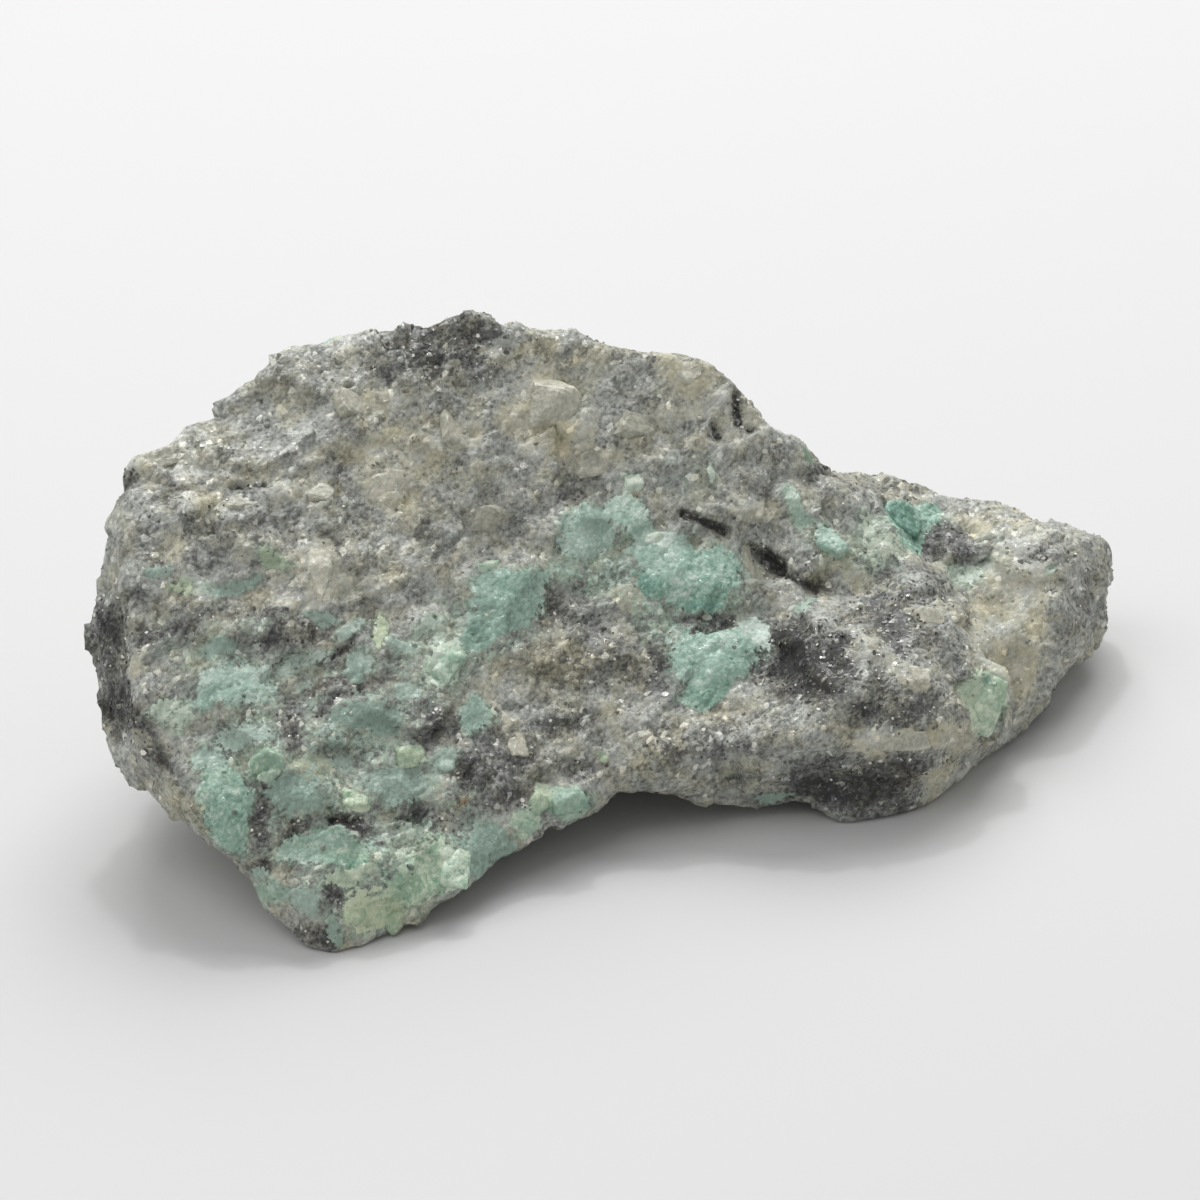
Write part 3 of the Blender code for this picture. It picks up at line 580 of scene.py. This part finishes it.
def beryl_colour(tree, patterns, lightness, strength, warmth):
    """Green by lightness, made uneven by clouds, frosted by fine cracks, and milky where it is weak."""
    beryl = bpy.context.scene.rough_emerald.beryl
    clouds, speckle, number, _ = patterns
    frost = ranged(tree, weighted_sum(tree, speckle, (clouds["Green"], 0.8)), 0.92, 1.1, -1.13, -0.9)
    light = weighted_sum(tree, lightness, (frost, 1.0), (clouds["Blue"], 1.1), (speckle, 0.9),
                         (number["Red"], 0.3))
    green = add(tree, "ShaderNodeValToRGB", {"Fac": light}, stops=[
        (0.0, beryl.deep_green), (1.0, beryl.mint), (0.35, beryl.teal), (0.68, beryl.sea_green),
    ])
    green = mixed(tree, ranged(tree, strength, 1.0, 0.0, 0.0, 0.7), green, (*beryl.milky, 1))
    yellow = mixed(tree, warmth, (1, 1, 1, 1), (*beryl.warm_tint, 1))
    return mixed(tree, 1.0, green, yellow, "MULTIPLY")


def grainy_normal(tree, patterns, relief, lean):
    """The normal bumped by round grains and speckle, then leant on each grain, so some grains glint."""
    _, speckle, _, grain = patterns
    height = weighted_sum(tree, speckle, (grain.outputs["Distance"], -0.6))
    bump = add(tree, "ShaderNodeBump", {"Height": height, "Strength": 1.0, "Distance": relief * MM})
    tilt = add(tree, "ShaderNodeVectorMath", {0: grain.outputs["Color"], 1: (0.5, 0.5, 0.5)},
               operation="SUBTRACT")
    tilt = add(tree, "ShaderNodeVectorMath", {0: tilt, "Scale": lean}, operation="SCALE")
    leant = add(tree, "ShaderNodeVectorMath", {0: bump, 1: tilt}, operation="ADD")
    return add(tree, "ShaderNodeVectorMath", {0: leant}, operation="NORMALIZE")


def schist_material():
    """Mica schist, broken with a hammer: sugary grains of grey quartz, cream feldspar and black mica,
    drawn out along the grain. The eye gets salt and pepper, glints, and masses of satin green beryl.
    """
    rock = bpy.context.scene.rough_emerald.rock
    material, tree = new_material("broken_mica_schist_with_beryl")
    patterns = rock_patterns(tree)
    clouds, speckle, number, _ = patterns
    beryl, lightness, strength, warmth, greenish, mica, quartz, stain = point_numbers(
        tree, "beryl", "lightness", "strength", "warmth", "greenish", "mica", "quartz", "stain"
    )

    # how grey or cream each grain is: clouds, speckle and its own number, less mica and the painted shade of
    # cracks and clefts, plus pale quartz
    pale = weighted_sum(tree, quartz, (clouds["Blue"], 1.4), (speckle, 0.7))
    pale = ranged(tree, pale, 1.25, 1.5, 0.0, 0.4)
    grey = weighted_sum(tree, -0.63, (number["Red"], 0.2), (speckle, 1.1), (clouds["Red"], 1.0),
                        (mica, -0.43))
    grey = add(tree, "ShaderNodeMix", {0: pale, 2: grey, 3: 0.9})
    # The smoothest few grains are also lightened: painted glints, on top of their real glints.
    grey = weighted_sum(tree, grey, (ranged(tree, number["Green"], 0.955, 0.975, 0.0, 0.38), 1.0))
    rock_colour = add(tree, "ShaderNodeValToRGB", {"Fac": grey}, stops=[
        (0.0, rock.biotite), (1.0, rock.cream), (0.25, rock.dark_grey), (0.5, rock.mid_grey),
        (0.75, rock.light_grey),
    ])
    # how iron-stained it is
    warm = weighted_sum(tree, -0.66, (clouds["Green"], 1.5), (pale, 0.25), (stain, 0.32))
    tint = add(tree, "ShaderNodeValToRGB", {"Fac": warm}, stops=[
        (0.0, rock.cool_tint), (1.0, rock.rust), (0.4, rock.ochre_tint), (0.85, rock.ochre_tint),
    ])
    # where there is beryl: in the masses, and as sparse grains around them, with a green tinge beside it
    full = weighted_sum(tree, 0.52, (strength, 0.5))
    full = add(tree, "ShaderNodeMath", {0: full, 1: beryl}, operation="MULTIPLY")
    sparse = add(tree, "ShaderNodeMath", {0: greenish, 1: 0.45}, operation="MULTIPLY")
    share = add(tree, "ShaderNodeMath", {0: full, 1: sparse}, operation="MAXIMUM")
    edge = weighted_sum(tree, clouds["Blue"], (speckle, 1.8), (number["Blue"], 0.6))
    edge = add(tree, "ShaderNodeMath", {0: edge, 1: share}, operation="MULTIPLY")
    tint = mixed(tree, ranged(tree, edge, 0.45, 0.85, 0.0, 0.75), tint, (*rock.green_tint, 1))
    rock_colour = mixed(tree, 1.0, rock_colour, tint, "MULTIPLY")

    mask = ranged(tree, edge, 0.75, 0.95, interpolation_type="SMOOTHSTEP")
    green = beryl_colour(tree, patterns, lightness, strength, warmth)
    end_material(tree, {
        "Base Color": mixed(tree, mask, rock_colour, green), "IOR": 1.55,
        "Roughness": ranged(tree, number["Green"], 0.5, 1.0, 0.7, 0.1),
        "Normal": grainy_normal(tree, patterns, 0.1, 0.3),
    })
    return material


def crystal_material():
    """Beryl that stands free of the rock: waxy green crystal with clouds, cracks and a little depth."""
    material, tree = new_material("cloudy_green_beryl")
    patterns = rock_patterns(tree)
    numbers = point_numbers(tree, "lightness", "strength", "warmth")
    end_material(tree, {
        "Base Color": beryl_colour(tree, patterns, *numbers), "Roughness": 0.35, "IOR": 1.58,
        "Normal": grainy_normal(tree, patterns, 0.1, 0.3),
        "Subsurface Weight": 0.2, "Subsurface Radius": (0.5, 1.0, 0.8), "Subsurface Scale": 0.8 * MM,
    })
    return material


def loose_grain_material():
    """Quartz and feldspar grains, broken: glassy to sugary, grey to cream, each with its own shade."""
    rock = bpy.context.scene.rough_emerald.rock
    material, tree = new_material("sugary_quartz_grain")
    patterns = rock_patterns(tree)
    shade, green = point_numbers(tree, "shade", "green")
    shade = weighted_sum(tree, shade, (patterns[1], 0.8), (patterns[0]["Red"], 0.8))
    colour = add(tree, "ShaderNodeValToRGB", {"Fac": shade}, stops=[
        (0.3, rock.dark_grey), (1.0, rock.cream), (0.55, rock.mid_grey), (0.8, rock.light_grey),
    ])
    tint = mixed(tree, 0.5, (*rock.cool_tint, 1), (*rock.ochre_tint, 1))
    tint = mixed(tree, green, tint, (*rock.green_tint, 1))
    end_material(tree, {
        "Base Color": mixed(tree, 1.0, colour, tint, "MULTIPLY"), "Roughness": 0.35, "IOR": 1.55,
        "Normal": grainy_normal(tree, patterns, 0.05, 0.2),
    })
    return material


def flake_material():
    """Mica, split along its sheets: mirror-smooth plates, from black biotite to silvery muscovite."""
    rock = bpy.context.scene.rough_emerald.rock
    material, tree = new_material("split_mica_flake")
    patterns = rock_patterns(tree)
    shade, = point_numbers(tree, "shade")
    colour = add(tree, "ShaderNodeValToRGB", {"Fac": shade}, stops=[
        (0.0, rock.biotite), (1.0, rock.cream), (0.5, rock.dark_grey), (0.8, rock.light_grey),
    ])
    end_material(tree, {
        "Base Color": colour, "Roughness": 0.15, "IOR": 1.6,
        "Normal": grainy_normal(tree, patterns, 0.02, 0.1),
    })
    return material


def dressed(piece):
    """Makes the piece part of the object."""
    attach(piece, "root")
    return piece


def skin_points(tree, points, triangles):
    """Minerals and relief of the skin: numbers for each point, and the points moved along their normals.
    A point reads the spots around it by their nearness to the fourth power. Sides that face away from
    the view, where nothing is read, get theirs from smooth noise.
    """
    rock = bpy.context.scene.rough_emerald.rock
    normals = point_normals(points, triangles)
    hidden = np.clip(0.35 + (normals @ SIGHT) * 2.5, 0, 1)

    rows = spots(points, tree, BERYL_SEEN)
    numbers = np.array(BERYL_SEEN)[:, 5:, None]
    weight = rows**4 + 1e-6
    unseen = cloudy(along_grain(points), 6.0, 41) + cloudy(points, 2.5, 42) * 0.5
    seen = np.clip(rows.max(axis=0) * 4, 0, 1)
    values = {"beryl": np.maximum(rows.max(axis=0), hidden * np.clip(0.5 + (unseen - 0.5) * 1.5, 0, 1))}
    for i, (name, middle) in enumerate((("lightness", 0.5), ("strength", 0.45), ("warmth", 0.3))):
        read = (weight * numbers[:, i]).sum(axis=0) / weight.sum(axis=0)
        values[name] = read * seen + (middle + cloudy(points, 4.0, 46 + i) * 0.5) * (1 - seen)
    for name, places, size, seed in (
        ("mica", DARK_MICA_AND_SHADE_SEEN, 6.0, 51), ("quartz", QUARTZ_SEEN, 5.0, 61), ("stain", STAIN_SEEN, 8.0, 71),
        ("greenish", GREENISH_SEEN, 9.0, 45),
    ):
        rows = spots(points, tree, places) * np.array(places)[:, 5, None]
        unseen = np.clip((cloudy(along_grain(points), size, seed) - 0.15) * 2, 0, 1)
        values[name] = np.maximum(rows.max(axis=0), hidden * unseen)

    # Black mica holds no green grains. A crack cuts through beryl, and the code below darkens it as painted
    # shade.
    values["greenish"] *= np.clip(1.1 - values["mica"], 0, 1)
    solid = np.clip(values["beryl"] * 2, 0, 1)
    rise = faceted(points, *COARSE_FACETS, 11) + faceted(points, *FINE_FACETS, 12)
    sugar = cloudy(along_grain(points), GRAIN_WIDTH, 13) * GRAIN_HEIGHT
    rise += sugar + cloudy(points, ROUGH_WIDTH, 14) * ROUGH_HEIGHT
    # Beryl is smoother and stands a little proud, as quartz does, and mica wears back.
    rise *= 1 - 0.25 * solid
    rise += solid * 0.1 - values["mica"] * 0.15 + np.clip(values["quartz"] * 3 - 1, 0, 1) * 0.1
    # Cracks sink into the relief, lose their beryl and are darkened like dark mica: painted shade in the
    # cracks.
    depth = crack_depth(points, tree)
    values["mica"] = np.clip(values["mica"] + depth * 3, 0, 1.6)
    values["beryl"] = values["beryl"] * (1 - np.clip(depth * 3, 0, 1))
    rise = rise * rock.relief - depth
    # The relief fades out towards the floor, so the stone still stands on its own flat spots.
    rise *= np.clip((points[:, 2] - 0.2) / 1.5, 0, 1)
    points = points + normals * rise[:, None]
    points[:, 2] = np.maximum(points[:, 2], 0)
    return points, values


class EMERALD_OT_skin(bpy.types.Operator):
    """Skin the stone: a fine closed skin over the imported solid, with its minerals and its broken relief"""

    bl_idname = "emerald.skin"
    bl_label = "Skin the stone"

    def execute(self, context):
        rock = context.scene.rough_emerald.rock
        rough = bpy.data.objects.new("rough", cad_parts[NODE].data.copy())
        context.scene.collection.objects.link(rough)
        weld = rough.modifiers.new("weld", "WELD")
        weld.merge_threshold = 0.001 * MM
        remesh = rough.modifiers.new("remesh", "REMESH")
        remesh.mode = "VOXEL"
        remesh.voxel_size = rock.skin_step
        fine = bpy.data.meshes.new_from_object(rough.evaluated_get(context.evaluated_depsgraph_get()))
        points, triangles = mesh_arrays(fine)
        bpy.data.objects.remove(rough)
        points = faired(points, triangles, 6)
        tree = BVHTree.FromPolygons(points.tolist(), triangles.tolist())
        points, values = skin_points(tree, points, triangles)
        skin = new_piece("stone", points, triangles, schist_material(), True)
        for name, numbers in values.items():
            add_values(skin, name, numbers)
        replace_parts(dressed(skin), NODE)
        return {"FINISHED"}


def sphere_grid(around, rings):
    """Directions on a grid of longitude and latitude, with a pole at each end, and the faces between."""
    turn = np.arange(around) * 2 * math.pi / around
    rise = np.arange(1, rings + 1) * math.pi / (rings + 1)
    turn, rise = np.meshgrid(turn, rise)
    ring = np.stack([np.sin(rise) * np.cos(turn), np.sin(rise) * np.sin(turn), np.cos(rise)], axis=-1)
    ways = np.concatenate([ring.reshape(-1, 3), [(0, 0, 1), (0, 0, -1)]])
    i = np.arange(around)
    j = (i + 1) % around
    top, bottom = around * rings, around * rings + 1
    faces = [np.stack([np.full(around, top), i, j], axis=1)]
    for row in range(rings - 1):
        a, b = row * around, (row + 1) * around
        faces.append(np.stack([a + i, b + i, b + j], axis=1))
        faces.append(np.stack([a + i, b + j, a + j], axis=1))
    last = (rings - 1) * around
    faces.append(np.stack([last + i, np.full(around, bottom), last + j], axis=1))
    return ways, np.concatenate(faces)


def cut_radius(ways, cuts, sharpness):
    """Distance to the surface of a shape cut by planes, in each direction: the planes' nearness, which
    is the direction's part along the plane's normal over its distance, is summed to a high power.
    """
    nearness = np.maximum(np.einsum("vi,gki->gvk", ways, cuts), 0)
    return (nearness**sharpness).sum(axis=2) ** (-1 / sharpness)


def random_cuts(rng, shape, nearest, furthest):
    """Planes that face any way: each one's normal, divided by how far it is from the middle."""
    cuts = rng.normal(0, 1, shape)
    distance = np.linalg.norm(cuts, axis=-1, keepdims=True)
    return cuts / (distance * rng.uniform(nearest, furthest, distance.shape))


def placed(shapes, middles, axes):
    """Each shape's points, turned on to its three axes, stretched by their lengths and moved to its
    middle.
    """
    return np.einsum("gvi,gij->gvj", shapes, axes) + middles[:, None, :]


def repeated(faces, count, points_each):
    """The faces of one shape, repeated for each of the shapes."""
    return (faces[None] + np.arange(count)[:, None, None] * points_each).reshape(-1, faces.shape[1])


def drawn_places(points, triangles, count, liking, seed):
    """Random places on the skin. A triangle is drawn by its area times how well the place is liked, and
    none is drawn where the skin is close to the floor.
    """
    liking = liking * (points[:, 2] > CLEAR_OF_FLOOR)
    rng = np.random.default_rng(seed)
    first, second, third = (points[triangles[:, i]] for i in range(3))
    outward = np.cross(second - first, third - first)
    area = np.linalg.norm(outward, axis=1)
    chance = area * liking[triangles].mean(axis=1)
    chosen = rng.choice(len(triangles), count, p=chance / chance.sum())
    share = rng.dirichlet((1, 1, 1), count)
    middles = np.einsum("gc,gci->gi", share, points[triangles[chosen]])
    normals = point_normals(points, triangles)[triangles[chosen, 0]]
    return middles, normals, triangles[chosen, 0], rng


def turned_axes(normals, rng, lean):
    """Three square axes for each place: the last one is the normal leant at random, the others any way."""
    out = normals + rng.normal(0, lean, normals.shape)
    out /= np.linalg.norm(out, axis=1, keepdims=True)
    side = np.cross(out, rng.normal(0, 1, normals.shape))
    side /= np.linalg.norm(side, axis=1, keepdims=True)
    return np.stack([side, np.cross(out, side), out], axis=1)


def flat_axes(tree, across, down, turn):
    """Where the line of sight through a pixel meets the skin, and three axes there: one along the skin
    at a turn from the horizontal, one across it, and the normal.
    """
    middle, normal = under_pixel(tree, across, down)
    turn = math.radians(turn)
    way = RIGHT * math.cos(turn) + UP * math.sin(turn)
    along = way - normal * (way @ normal)
    along /= np.linalg.norm(along)
    return middle, np.array([along, np.cross(normal, along), normal])


class EMERALD_OT_crystals(bpy.types.Operator):
    """Set beryl crystals: six-sided prisms with blunt ends and chipped corners, sunk in the skin"""

    bl_idname = "emerald.crystals"
    bl_label = "Set beryl crystals"

    def execute(self, context):
        skin = bpy.data.objects["stone"]
        points, triangles = mesh_arrays(skin.data)
        tree = BVHTree.FromPolygons(points.tolist(), triangles.tolist())
        rng = np.random.default_rng(5)
        ways, faces = sphere_grid(32, 19)
        sides = np.arange(6) * math.pi / 3
        prism = np.stack([np.cos(sides), np.sin(sides), sides * 0], axis=1)
        prism = np.concatenate([prism, [(0, 0, 1), (0, 0, -1)]])
        shapes, lightness, strength, warmth = [], [], [], []
        for across, down, length, width, turn, light, strong, yellow, standing in CRYSTALS_SEEN:
            middle, (along, side, normal) = flat_axes(tree, across, down, turn)
            a, b = length * PIXEL, width * PIXEL
            chips = random_cuts(rng, (4, 3), 0.85, 1.05)
            cuts = np.concatenate([prism * rng.uniform(0.92, 1.08, (8, 1)), chips])
            shape = ways * cut_radius(ways, cuts[None], 22)[0][:, None]
            # The prism's length is its third axis: out of the skin if it stands, along it if it lies.
            if standing:
                axes = np.stack([along * a, side * b, normal * b * 0.7])
                middle = middle - normal * b * 0.5
            else:
                axes = np.stack([side * b, normal * b * 0.6, along * a])
                middle = middle - normal * b * 0.4
            shapes.append(shape @ axes + middle)
            # A smooth face looks lighter than a rough mass of the same green.
            lightness.append(np.full(len(ways), light - 0.2))
            strength.append(np.full(len(ways), strong))
            warmth.append(np.full(len(ways), yellow))
        shapes = np.concatenate(shapes)
        shapes += np.stack([cloudy(shapes, 0.8, 81 + axis) for axis in range(3)], axis=1) * 0.17
        shapes[:, 2] = np.maximum(shapes[:, 2], 0)
        faces = repeated(faces, len(CRYSTALS_SEEN), len(ways))
        crystals = new_piece("beryl_crystals", shapes, faces, crystal_material(), True)
        add_values(crystals, "lightness", np.concatenate(lightness))
        add_values(crystals, "strength", np.concatenate(strength))
        add_values(crystals, "warmth", np.concatenate(warmth))
        dressed(crystals)
        return {"FINISHED"}


class EMERALD_OT_grains(bpy.types.Operator):
    """Set quartz: small blunt grains and some larger blocks, cut by planes and half sunk in the skin"""

    bl_idname = "emerald.grains"
    bl_label = "Set quartz grains"

    def execute(self, context):
        rock = context.scene.rough_emerald.rock
        skin = bpy.data.objects["stone"]
        beryl, mica, quartz = (read_values(skin, name) for name in ("beryl", "mica", "quartz"))
        liking = np.clip(1.0 + quartz - mica * 0.6 - beryl * 0.7, 0.1, 3)
        points, triangles = mesh_arrays(skin.data)
        count = rock.grain_count
        middles, normals, owner, rng = drawn_places(points, triangles, count, liking, 6)
        ways, faces = sphere_grid(6, 4)
        cuts = random_cuts(rng, (count, 9, 3), 0.7, 1.1)
        shapes = ways[None] * np.minimum(cut_radius(ways, cuts, 24), 1.2)[..., None]
        size = rng.lognormal(math.log(GRAIN_RADIUS), 0.2, (count, 1, 1))
        axes = turned_axes(normals, rng, 0.35) * size * rng.uniform(0.8, 1.3, (count, 3, 1))
        shapes = placed(shapes, middles - normals * size[:, 0] * 0.5, axes)
        shade = rng.uniform(-0.5, 0.02, count) + quartz[owner] * 0.1 - mica[owner] * 0.6
        green = np.where(beryl[owner] > 0.5, rng.uniform(0.3, 1, count), 0)

        tree = BVHTree.FromPolygons(points.tolist(), triangles.tolist())
        fine_ways, fine_faces = sphere_grid(24, 14)
        blocks = []
        for across, down, length, width, turn, _ in BLOCKS_SEEN:
            middle, axes = flat_axes(tree, across, down, turn)
            a, b = length * PIXEL, width * PIXEL
            chips = random_cuts(rng, (6, 3), 0.95, 1.2)
            box = np.concatenate([np.eye(3), -np.eye(3)]) + rng.normal(0, 0.12, (6, 3))
            cuts = np.concatenate([box, chips])
            block = fine_ways * cut_radius(fine_ways, cuts[None], 40)[0][:, None]
            block = block @ (axes * np.array((a, b, b * 0.6))[:, None]) + middle - axes[2] * b * 0.45
            uneven = [cloudy(block, 0.5, 91 + axis) * 0.08 for axis in range(3)]
            blocks.append(block + np.stack(uneven, axis=1))
        small = repeated(faces, count, len(ways))
        large = repeated(fine_faces, len(blocks), len(fine_ways)) + shapes.size // 3
        grains = new_piece(
            "quartz_grains", np.concatenate([shapes.reshape(-1, 3), *blocks]),
            np.concatenate([small, large]), loose_grain_material(), False,
        )
        pale = np.repeat([place[5] - 0.38 for place in BLOCKS_SEEN], len(fine_ways))
        add_values(grains, "shade", np.concatenate([np.repeat(shade, len(ways)), pale]))
        add_values(grains, "green", np.concatenate([np.repeat(green, len(ways)), pale * 0]))
        dressed(grains)
        return {"FINISHED"}


class EMERALD_OT_flakes(bpy.types.Operator):
    """Set mica flakes: thin plates with six uneven sides, lying roughly along the skin"""

    bl_idname = "emerald.flakes"
    bl_label = "Set mica flakes"

    def execute(self, context):
        rock = context.scene.rough_emerald.rock
        skin = bpy.data.objects["stone"]
        beryl, mica = (read_values(skin, name) for name in ("beryl", "mica"))
        points, triangles = mesh_arrays(skin.data)
        liking = np.clip(0.03 + mica * 3, 0, 3) * (beryl < 0.4)
        count = rock.flake_count
        middles, normals, owner, rng = drawn_places(points, triangles, count, liking, 8)
        corner = np.arange(6) * math.pi / 3
        corners = np.stack([np.cos(corner), np.sin(corner)], axis=1)
        rim = corners[None] * rng.uniform(0.7, 1.2, (count, 6, 1))
        rim *= rng.lognormal(math.log(FLAKE_RADIUS), 0.35, (count, 1, 1))
        thick = np.full((count, 6, 1), FLAKE_THICKNESS)
        plate = np.concatenate([
            np.concatenate([rim, thick], axis=2), np.concatenate([rim, -thick], axis=2),
        ], axis=1)
        i = np.arange(6)
        j = (i + 1) % 6
        fan = np.array([(0, 1, 2), (0, 2, 3), (0, 3, 4), (0, 4, 5)])
        faces = np.concatenate([
            fan, fan[:, ::-1] + 6, np.stack([i, i + 6, j + 6], axis=1), np.stack([i, j + 6, j], axis=1),
        ])
        shapes = placed(plate, middles + normals * 0.01, turned_axes(normals, rng, 0.18)).reshape(-1, 3)
        flakes = new_piece("mica_flakes", shapes, repeated(faces, count, 12), flake_material(), False)
        silver = rng.uniform(0, 1, count) < np.clip(0.4 - mica[owner] * 0.4, 0.02, 1)
        dark = rng.uniform(0, 0.5, count) + np.clip(0.4 - mica[owner], 0, 0.4)
        shade = np.where(silver, rng.uniform(0.7, 1.1, count), dark)
        add_values(flakes, "shade", np.repeat(shade, 12))
        dressed(flakes)
        return {"FINISHED"}


class EMERALD_OT_stage(bpy.types.Operator):
    """Set the stage: a pale floor, a large soft light behind, two weaker lights, and the camera"""

    bl_idname = "emerald.stage"
    bl_label = "Set the stage"

    def execute(self, context):
        stage = context.scene.rough_emerald.stage
        material, tree = new_material("matt_white_board")
        end_material(tree, {"Base Color": (*stage.floor, 1), "Roughness": 0.7})
        turn = np.arange(96) * 2 * math.pi / 96
        rim = np.stack([np.cos(turn), np.sin(turn), turn * 0], axis=1) * 4 / MM
        fan = np.stack([np.full(96, 96), np.arange(96), (np.arange(96) + 1) % 96], axis=1)
        floor = new_piece("floor", np.concatenate([rim, [(0, 0, 0)]]), fan, material, False)

        for name, place, side, power in (
            ("softbox", (0.06, 0.6, stage.softbox_height), stage.softbox_side, 7.2),
            ("fill", (-0.3, -0.1, 0.5), 0.5, 1.1),
            ("small_light", (-0.05, 0.3, 0.5), 0.04, 0.45),
        ):
            light = bpy.data.lights.new(name, "AREA")
            light.size = side
            light.energy = power
            lamp = bpy.data.objects.new(name, light)
            lamp.location = place
            lamp.rotation_euler = Vector(place).to_track_quat("Z", "Y").to_euler()
            context.scene.collection.objects.link(lamp)

        world = bpy.data.worlds.new("studio")
        world.use_nodes = True
        surround = world.node_tree.nodes["Background"].inputs
        surround["Color"].default_value = (1, 1, 1, 1)
        surround["Strength"].default_value = stage.surround
        context.scene.world = world
        context.scene.view_settings.view_transform = "Standard"

        view = bpy.data.cameras.new("camera")
        view.sensor_width = 36
        view.lens = view.sensor_width * EYE_DISTANCE / (PICTURE * PIXEL)
        view.clip_start = 0.01
        camera = bpy.data.objects.new("camera", view)
        camera.location = EYE * MM
        camera.rotation_euler = (math.pi / 2 - SIGHT_DOWN, 0, 0)
        context.scene.collection.objects.link(camera)
        context.scene.camera = camera
        return {"FINISHED"}


class EMERALD_PT_panel(bpy.types.Panel):
    """Lists the steps and the settings"""

    bl_idname = "EMERALD_PT_panel"
    bl_label = "Rough emerald"
    bl_space_type = "VIEW_3D"
    bl_region_type = "UI"
    bl_category = "Emerald"

    def draw(self, context):
        settings = context.scene.rough_emerald
        for step in STEPS:
            self.layout.operator(step.bl_idname)
        for group in (settings.rock, settings.beryl, settings.stage):
            box = self.layout.box()
            for name in group.__annotations__:
                box.prop(group, name)


STEPS = (EMERALD_OT_stage, EMERALD_OT_skin, EMERALD_OT_crystals, EMERALD_OT_grains, EMERALD_OT_flakes)
CLASSES = (RockSettings, BerylSettings, StageSettings, EmeraldSettings, *STEPS, EMERALD_PT_panel)


def register():
    for each in CLASSES:
        bpy.utils.register_class(each)
    bpy.types.Scene.rough_emerald = bpy.props.PointerProperty(type=EmeraldSettings)


def unregister():
    del bpy.types.Scene.rough_emerald
    for each in reversed(CLASSES):
        bpy.utils.unregister_class(each)


def main():
    register()
    bpy.ops.emerald.stage()
    bpy.ops.emerald.skin()
    bpy.ops.emerald.crystals()
    bpy.ops.emerald.grains()
    bpy.ops.emerald.flakes()


if __name__ == "__main__":
    main()
